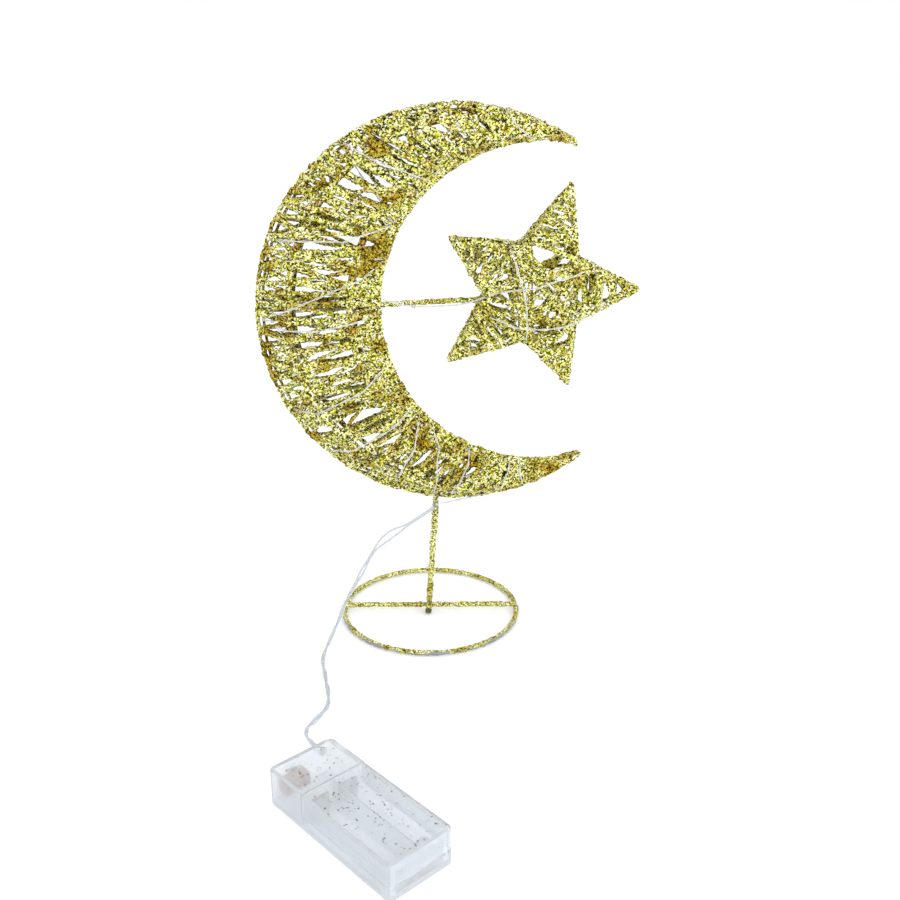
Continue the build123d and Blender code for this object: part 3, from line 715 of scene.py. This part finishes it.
def star_edge(outline, side, draw):
    """Two strands twisted along each wire of the star's front or back."""
    strands = []
    run = np.linspace(0.0, 1.0, 44)[:, None]
    for index, start in enumerate(outline):
        end = outline[(index + 1) % len(outline)]
        for phase in (0.0, pi):
            line = start + (end - start) * run
            swing = 12 * pi * run[:, 0] + phase
            back = side * line[:, 2] + TWIST_RADIUS * np.sin(swing)
            line = in_plane(line[:, 0], line[:, 1], back)
            line[:, 2] += TWIST_RADIUS * np.cos(swing)
            strands.append(wavering(line, 0.00018, draw))
    return strands


def arm_strand(tip, feet, side, runs, draw):
    """Yarn from side to side over one face of an arm, from its feet to its tip."""
    reach = (np.arange(runs) + 0.3) / (runs + 0.6)
    reach = np.clip(reach + draw.normal(0.0, 0.07, runs), 0.0, 0.94)
    corners = []
    for k, share in enumerate(reach):
        spot = feet[k % 2] + (tip - feet[k % 2]) * share
        corners.append((spot[0], spot[1], side * (spot[2] + 0.0008)))
    line = in_plane(*np.array(corners).T)
    line, wide = taut(line, STRAND_STEP, thin=1.0, thick=1.75, reach=0.0032)
    return wavering(line, 0.00016, draw), wide


def middle_strand(outline, first, last, side, draw):
    """Yarn over the star's middle, from near one of its corners to near another."""
    ends = []
    for corner in (first, last):
        foot = outline[corner % 10]
        tip = outline[(corner + draw.choice((-1, 1))) % 10]
        spot = foot + (tip - foot) * draw.uniform(0.0, 0.3)
        ends.append((spot[0], spot[1], side * (spot[2] + 0.0012)))
    line = in_plane(*np.array(ends).T)
    line, wide = taut(line, STRAND_STEP, thin=0.95, thick=1.45, reach=0.0026)
    return wavering(line, 0.00018, draw), wide


class ORNAMENT_OT_star_yarn(bpy.types.Operator):
    """Wind the glitter yarn along the star's edges, across its arms and over its middle"""

    bl_idname = "ornament.star_yarn"
    bl_label = "Star yarn"

    def execute(self, context):
        sizes = context.scene.ornament_star
        material = pale_yarn()
        draw = np.random.default_rng(17)
        outline = star_corners()
        for name, side, node in (
            ("star_front_edge", -1, "star_front_wire"),
            ("star_back_edge", 1, "star_back_wire"),
        ):
            mesh = glitter_mesh(star_edge(outline, side, draw), EDGE_WIDTH, EDGE_ROUGH, draw)
            put(name, mesh, material, [node])
        strands = []
        for index in range(5):
            feet = (outline[(2 * index + 1) % 10], outline[(2 * index - 1) % 10])
            for side in (-1, 1):
                strands.append(arm_strand(outline[2 * index], feet, side, sizes.arm_runs, draw))
        lines, widths = zip(*strands)
        mesh = glitter_mesh(lines, STAR_WIDTH, STRAND_ROUGH, draw, widths=widths)
        put("star_arm_yarn", mesh, material,
            [f"star_yarn_{i}" for i in (1, 2, 3, 4, 5)])
        strands = []
        for side in (-1, 1):
            for index in range(5):
                for step in (2, 2, 3, 3):
                    first = 2 * index + 1
                    strands.append(middle_strand(outline, first, first + 2 * step, side, draw))
        lines, widths = zip(*strands)
        mesh = glitter_mesh(lines, STAR_WIDTH, STRAND_ROUGH, draw, widths=widths)
        put("star_middle_yarn", mesh, material, ["star_yarn_middle"])
        return {"FINISHED"}


class ORNAMENT_OT_base_wires(bpy.types.Operator):
    """Coat the wires with glitter: the base, the stem, the star's arm and those inside the yarn"""

    bl_idname = "ornament.base_wires"
    bl_label = "Wires"

    def execute(self, context):
        draw = np.random.default_rng(5)
        worn = glitter_material("worn_glitter_wire", WIRE_FLAKES, paint(222, 212, 140), True)
        coated = glitter_material("glitter_wire", WIRE_FLAKES, paint(224, 214, 150))
        low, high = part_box("base_ring")
        radius = (high.x - low.x) / 2 - RING_HEIGHT
        angles = np.linspace(0.0, 2 * pi, 300)
        ring = np.stack([radius * np.cos(angles), radius * np.sin(angles),
                         np.full(300, RING_HEIGHT)], axis=1)
        mesh = glitter_mesh([ring], 0.0029, 0.00022, draw, sides=8)
        put("glitter_ring", mesh, worn, ["base_ring"])
        low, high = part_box("base_crossbar")
        middle = (low.z + high.z) / 2
        bar = [(low.x + 0.0004, 0.0, middle), (high.x - 0.0004, 0.0, middle)]
        stem = [(-0.0013, -0.0029, 0.0014), (0.004, 0.0, 0.0789)]
        # A weld bead at the stem's foot, coloured dark as painted shade of the bare steel end under
        # the crossbar.
        weld_shade = metal_material("burnt_weld", paint(38, 38, 26), paint(96, 92, 48), 0.2, 0.5, 900.0)
        weld = [(-0.0014, -0.0036, 0.0010), (-0.0012, -0.0030, 0.0031)]
        low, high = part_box("star_arm")
        arm = [(low.x, 0.0, low.z + 0.0015), (high.x, 0.0, high.z - 0.0015)]
        for name, ends, step, waver, width, rough, material, nodes in (
            ("glitter_bar", bar, WIRE_STEP, 0.0, 0.0031, 0.00026, coated, ["base_crossbar"]),
            ("glitter_stem", stem, WIRE_STEP, 0.0001, 0.0036, 0.00030, coated, ["stem"]),
            ("stem_weld", weld, 0.0007, 0.0, 0.0042, 0.00030, weld_shade, []),
            ("glitter_arm", arm, WIRE_STEP, 0.0001, 0.0029, 0.00026, coated, ["star_arm"]),
        ):
            line = spaced(ends, step)
            if waver:
                line = wavering(line, waver, draw)
            mesh = glitter_mesh([line], width, rough, draw, sides=8)
            put(name, mesh, material, nodes)
        # The wires inside the yarn get darker, browner patches: painted shade inside the winding.
        inside = glitter_material("glitter_frame_wire", FRAME_FLAKES, paint(164, 134, 52))
        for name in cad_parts:
            if name.endswith(("_wire", "_ties", "_spacers")):
                coat(inside, name)
        return {"FINISHED"}


def twin_lines(line, offsets, turns):
    """Two lines that wind round a line at the given offsets."""
    ways = np.gradient(line, axis=0)
    ways /= np.linalg.norm(ways, axis=1)[:, None]
    side = np.cross(ways[0], (0.0, 1.0, 0.0))
    side /= np.linalg.norm(side)
    sides = []
    for way in ways:
        side = side - way * side.dot(way)
        side = side / np.linalg.norm(side)
        sides.append(side)
    sides = np.array(sides)
    ups = np.cross(ways, sides)
    arms = sides * np.cos(turns)[:, None] + ups * np.sin(turns)[:, None]
    return line + arms * offsets[:, None], line - arms * offsets[:, None]


def limb_light_line():
    """The string of lights over the limb, lower horn to upper horn, front and back by turns."""
    places = []
    for index, front in enumerate(LIMB_LIGHTS):
        for place, share in front:
            places.append((place, share, -1.0, 0.0007))
        end_place = front[-1][0]
        if index + 1 < len(LIMB_LIGHTS):
            next_place = LIMB_LIGHTS[index + 1][0][0]
            for share, part in ((0.77, 0.25), (0.26, 0.75)):
                place = end_place + (next_place - end_place) * part
                places.append((place, share, 1.0, 0.0007))
    fine = []
    for start, end in zip(places, places[1:]):
        run = np.linspace(0.0, 1.0, 10, endpoint=False)[:, None]
        fine.append(np.array(start) + (np.array(end) - np.array(start)) * run)
    fine = np.concatenate(fine + [np.array(places[-1:])])
    side = np.where(fine[:, 2] > 0, 1.0, -1.0)
    return on_limb(fine[:, 0], np.clip(fine[:, 1], 0.0, 1.0), side, fine[:, 3])


def star_light_line():
    """The string of lights along the arm and round the star."""
    return in_plane(*np.array(STAR_LIGHTS).T)


class ORNAMENT_OT_light_string(bpy.types.Operator):
    """Lay the thin twin wire of the lights over the crescent, the arm and the star"""

    bl_idname = "ornament.light_string"
    bl_label = "Light string"

    def execute(self, context):
        material = metal_material(
            "light_string_wire", paint(206, 204, 200), paint(244, 243, 240), 0.35, 0.3, 300.0)
        low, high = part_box("lead_splice")
        splice = np.array((low + high) / 2)
        feed_line = np.array([splice, on_limb(0.125, 0.06, -1.0, 0.001)])
        step = 0.0016
        twist = 0.016
        for name, route, node in (
            ("light_string_limb", limb_light_line(), ["light_wire_upper"]),
            ("light_string_feed", feed_line, ["light_wire_horn"]),
            ("light_string_star", star_light_line(), ["light_wire_star"]),
        ):
            line = spaced(rounded(route), step)
            along = np.arange(len(line)) * step
            pair = twin_lines(line, np.full(len(line), 0.00032), along * 2 * pi / twist)
            mesh = tube_mesh(pair, 0.00046, 6)
            put(name, mesh, material, node)
        return {"FINISHED"}


def blob(bm, place, size, draw):
    """A resin drop in a mesh: a ball drawn out one way and a little uneven."""
    made = bmesh.ops.create_icosphere(bm, subdivisions=2, radius=size / 2)
    slim = (draw.uniform(0.85, 1.0), draw.uniform(0.85, 1.0))
    stretch = Matrix.Diagonal((*slim, draw.uniform(1.1, 1.35), 1.0))
    swing = Matrix.Rotation(draw.uniform(0.0, pi), 4, "Y")
    roll = Matrix.Rotation(draw.uniform(0.0, pi), 4, "X")
    for vert in made["verts"]:
        vert.co *= draw.uniform(0.96, 1.04)
    seat = Matrix.Translation(place)
    bmesh.ops.transform(bm, matrix=seat @ (swing @ roll) @ stretch, verts=made["verts"])


class ORNAMENT_OT_light_drops(bpy.types.Operator):
    """Cast the clear drops over the lights and the splice"""

    bl_idname = "ornament.light_drops"
    bl_label = "Light drops"

    def execute(self, context):
        material = clear_material("cast_drop_resin", paint(246, 242, 230), 0.12, 1.4, 0.85)
        draw = np.random.default_rng(23)
        spots = []
        for route, count in ((limb_light_line(), 17), (star_light_line(), 7)):
            line = spaced(rounded(route), 0.001)
            for index in range(count):
                spots.append(Vector(line[int(len(line) * (index + 0.3) / count)]))
        low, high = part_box("lead_splice")
        for name, places, size, node in (
            ("resin_drops", spots, 0.0025, "light_drops"),
            ("splice_seal", [(low + high) / 2], 0.0036, "lead_splice"),
        ):
            bm = bmesh.new()
            for place in places:
                blob(bm, place, size, draw)
            mesh = mesh_of(name, bm)
            mesh.shade_smooth()
            put(name, mesh, material, [node])
        return {"FINISHED"}


def lead_line():
    """The middle line of the lead, a smooth curve along its control points."""
    curve = bpy.data.curves.new("lead_route", "CURVE")
    curve.dimensions = "3D"
    spline = curve.splines.new("NURBS")
    spline.points.add(len(LEAD_ROUTE) - 1)
    for point, place in zip(spline.points, LEAD_ROUTE):
        point.co = (*place, 1.0)
    spline.order_u = 3
    spline.use_endpoint_u = True
    spline.resolution_u = 10
    path = curve_mesh(curve)
    line = np.array([tuple(vert.co) for vert in path.vertices])
    bpy.data.meshes.remove(path)
    return spaced(line, 0.0012)


class ORNAMENT_OT_lead(bpy.types.Operator):
    """Lay the clear twin lead from the battery box to the splice"""

    bl_idname = "ornament.lead"
    bl_label = "Lead"

    def execute(self, context):
        material = clear_material("twin_lead_sheath", paint(218, 222, 228), 0.15, 1.4, 0.6)
        line = lead_line()
        share = np.linspace(0.0, 1.0, len(line))
        eye = np.clip((share - EYE_START) / EYE_LENGTH, 0.0, 1.0)
        small_eye = np.clip((share - TWIST_END) / SMALL_EYE_LENGTH, 0.0, 1.0)
        offsets = LEAD_OFFSET + 0.0020 * np.sin(pi * eye) ** 1.2
        offsets = offsets + 0.0006 * np.sin(pi * small_eye) ** 2
        turns = 2 * pi * np.minimum(share, TWIST_END) * LEAD_TWISTS + 0.5
        mesh = tube_mesh(twin_lines(line, offsets, turns), LEAD_STRAND, 8)
        mesh.shade_smooth()
        lead = put("twin_lead", mesh, material, ["lead_cord"])
        coat(material, "lead_grommet")
        return {"FINISHED"}


def softened(node, width):
    """A copy of a CAD solid with its edges eased, as moulded plastic has them."""
    bm = bmesh.new()
    bm.from_mesh(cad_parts[node].data)
    bmesh.ops.remove_doubles(bm, verts=bm.verts, dist=1e-6)
    bmesh.ops.dissolve_limit(bm, angle_limit=radians(1.0), verts=bm.verts, edges=bm.edges)
    paired = [edge for edge in bm.edges if len(edge.link_faces) == 2]
    sharp = [edge for edge in paired if edge.calc_face_angle() > radians(40)]
    bmesh.ops.bevel(bm, geom=sharp, offset=width, offset_type="OFFSET", affect="EDGES", segments=2,
                    profile=0.5, material=-1, clamp_overlap=True)
    return mesh_of(node, bm)


class ORNAMENT_OT_battery_box(bpy.types.Operator):
    """Mould the clear battery case, its floor plate and its sliding cover"""

    bl_idname = "ornament.battery_box"
    bl_label = "Battery box"

    def execute(self, context):
        material = clear_material("milky_box_plastic", paint(249, 252, 255), 0.2, 1.26, 0.76)
        put("clear_case", softened("battery_case", 0.00025), material,
            ["battery_case"])
        put("clear_cover", softened("battery_cover", 0.0002), material,
            ["battery_cover"], "cover")
        coat(material, "switch_floor")
        return {"FINISHED"}


class ORNAMENT_OT_stray_glitter(bpy.types.Operator):
    """Scatter the stray glitter that lies on the battery box"""

    bl_idname = "ornament.stray_glitter"
    bl_label = "Stray glitter"

    def execute(self, context):
        material = metal_material(
            "stray_glitter", paint(36, 33, 26), paint(112, 102, 66), 0.0, 0.6, 600.0)
        draw = np.random.default_rng(29)
        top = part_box("battery_case")[1].z
        middle = np.array(BOX_PLACE)
        along = np.array((cos(BOX_HEADING), -sin(BOX_HEADING), 0.0))
        across = np.array((sin(BOX_HEADING), cos(BOX_HEADING), 0.0))
        for name, body, start, end, count in (
            ("stray_glitter_cover", "cover", -0.0155, 0.0410, 120),
            ("stray_glitter_case", "ornament", -0.0405, -0.0190, 44),
        ):
            bm = bmesh.new()
            for _ in range(count):
                place = middle + along * draw.uniform(start, end)
                place = place + across * draw.uniform(-0.0160, 0.0160)
                radius = draw.uniform(0.00024, 0.00050)
                made = bmesh.ops.create_icosphere(bm, subdivisions=1, radius=radius)
                turn = Matrix.Rotation(draw.uniform(0.0, pi), 4, "Z")
                flat = Matrix.Diagonal((1.0, draw.uniform(0.6, 1.0), 0.3, 1.0))
                seat = Matrix.Translation((place[0], place[1], top + 0.00008))
                bmesh.ops.transform(bm, matrix=seat @ turn @ flat, verts=made["verts"])
            put(name, mesh_of(name, bm), material, body=body)
        return {"FINISHED"}


class ORNAMENT_OT_contacts(bpy.types.Operator):
    """Plate the contacts and springs in the cell bays, and colour the switch and its lever"""

    bl_idname = "ornament.contacts"
    bl_label = "Contacts and switch"

    def execute(self, context):
        plated = metal_material(
            "plated_contact", paint(150, 150, 152), paint(214, 214, 216), 0.8, 0.3, 220.0)
        body = metal_material(
            "switch_body", paint(134, 104, 96), paint(180, 150, 140), 0.1, 0.45, 260.0)
        lever = metal_material(
            "switch_lever", paint(38, 38, 40), paint(60, 60, 62), 0.0, 0.45, 500.0)
        coat(plated, "bridge_plate", "end_plate_left", "end_plate_right",
             "cell_spring_front", "cell_spring_rear")
        coat(body, "switch_body")
        coat(lever, "switch_lever")
        return {"FINISHED"}


def seen_by(tree, *rays):
    """One for a ray of one of the given kinds, and nought for any other."""
    paths = tree.nodes.new("ShaderNodeLightPath").outputs
    value = paths[rays[0]]
    for ray in rays[1:]:
        value = number_math(tree, "MAXIMUM", value, paths[ray])
    return value


def floor_material():
    """A matt floor that glows a little where it is seen, so that it shows white."""
    material, tree, shader = new_material("pale_floor")
    tree.nodes.remove(shader)
    matt = node_of(tree, "ShaderNodeBsdfDiffuse", {"Color": (0.93, 0.94, 0.96, 1.0)})
    seen = seen_by(tree, "Is Camera Ray", "Is Glossy Ray", "Is Transmission Ray")
    strength = number_math(tree, "MULTIPLY", seen, 0.14)
    glow = node_of(tree, "ShaderNodeEmission",
                   {"Color": (1.0, 1.0, 1.0, 1.0), "Strength": strength})
    both = node_of(tree, "ShaderNodeAddShader",
                   {0: matt.outputs["BSDF"], 1: glow.outputs["Emission"]})
    feed(tree, tree.nodes["Material Output"], {"Surface": both.outputs["Shader"]})
    return material


def white_room():
    """An even white world, a little brighter where it is seen than where it only lights."""
    world = bpy.data.worlds.new("white_room")
    world.use_nodes = True
    tree = world.node_tree
    seen = seen_by(tree, "Is Camera Ray", "Is Transmission Ray")
    strength = node_of(tree, "ShaderNodeMix", {"Factor": seen, "A": 0.95, "B": 1.0})
    feed(tree, tree.nodes["Background"],
         {"Color": (1.0, 1.0, 1.0, 1.0), "Strength": strength.outputs["Result"]})
    return world


class ORNAMENT_OT_stage(bpy.types.Operator):
    """Set the pale floor, the soft light and the camera"""

    bl_idname = "ornament.stage"
    bl_label = "Stage"

    def execute(self, context):
        scene = context.scene
        scene.view_settings.view_transform = "Standard"
        bm = bmesh.new()
        bmesh.ops.create_grid(bm, x_segments=1, y_segments=1, size=8.0)
        floor = add_object("floor", mesh_of("floor", bm))
        floor.data.materials.append(floor_material())
        scene.world = white_room()
        aim = Vector((0.0, -0.05, 0.12))
        for name, place, size, power in (
            ("key_light", (0.7, -0.9, 0.7), 0.7, 5.0),
            ("fill_light", (-0.8, -0.7, 0.9), 0.9, 1.2),
        ):
            lamp = bpy.data.lights.new(name, "AREA")
            lamp.size = size
            lamp.energy = power
            holder = add_object(name, lamp)
            holder.location = place
            holder.rotation_euler = (aim - Vector(place)).to_track_quat("-Z", "Y").to_euler()
        camera = bpy.data.cameras.new("photo_camera")
        camera.lens = 41.81
        camera.sensor_width = 36.0
        camera.clip_start = 0.01
        holder = add_object("photo_camera", camera)
        holder.location = (0.00336, -0.565835, 0.31034)
        holder.rotation_euler = (radians(70.0), 0.0, -0.015)
        scene.camera = holder
        return {"FINISHED"}


SETTINGS = {
    "ornament_crescent": CrescentSizes,
    "ornament_star": StarSizes,
    "ornament_colours": FinishColours,
}

OPERATORS = [
    ORNAMENT_OT_stage,
    ORNAMENT_OT_lead,
    ORNAMENT_OT_base_wires,
    ORNAMENT_OT_crescent_yarn,
    ORNAMENT_OT_star_yarn,
    ORNAMENT_OT_light_string,
    ORNAMENT_OT_light_drops,
    ORNAMENT_OT_battery_box,
    ORNAMENT_OT_stray_glitter,
    ORNAMENT_OT_contacts,
]


class ORNAMENT_PT_pieces(bpy.types.Panel):
    """Sizes, colours and pieces of the ornament"""

    bl_label = "Crescent ornament"
    bl_idname = "ORNAMENT_PT_pieces"
    bl_space_type = "VIEW_3D"
    bl_region_type = "UI"
    bl_category = "Ornament"

    def draw(self, context):
        for group in SETTINGS:
            settings = getattr(context.scene, group)
            for name in settings.bl_rna.properties.keys():
                if name not in ("rna_type", "name"):
                    self.layout.prop(settings, name)
        for operator in OPERATORS:
            self.layout.operator(operator.bl_idname)


CLASSES = [*SETTINGS.values(), *OPERATORS, ORNAMENT_PT_pieces]


def register():
    """Register the classes and hang the settings on the scene."""
    for made in CLASSES:
        bpy.utils.register_class(made)
    for name, group in SETTINGS.items():
        setattr(bpy.types.Scene, name, PointerProperty(type=group))


def unregister():
    """Take the settings and the classes away again."""
    for name in SETTINGS:
        delattr(bpy.types.Scene, name)
    for made in reversed(CLASSES):
        bpy.utils.unregister_class(made)


def main():
    """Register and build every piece."""
    register()
    for operator in OPERATORS:
        group, name = operator.bl_idname.split(".")
        getattr(getattr(bpy.ops, group), name)()


if __name__ == "__main__":
    main()
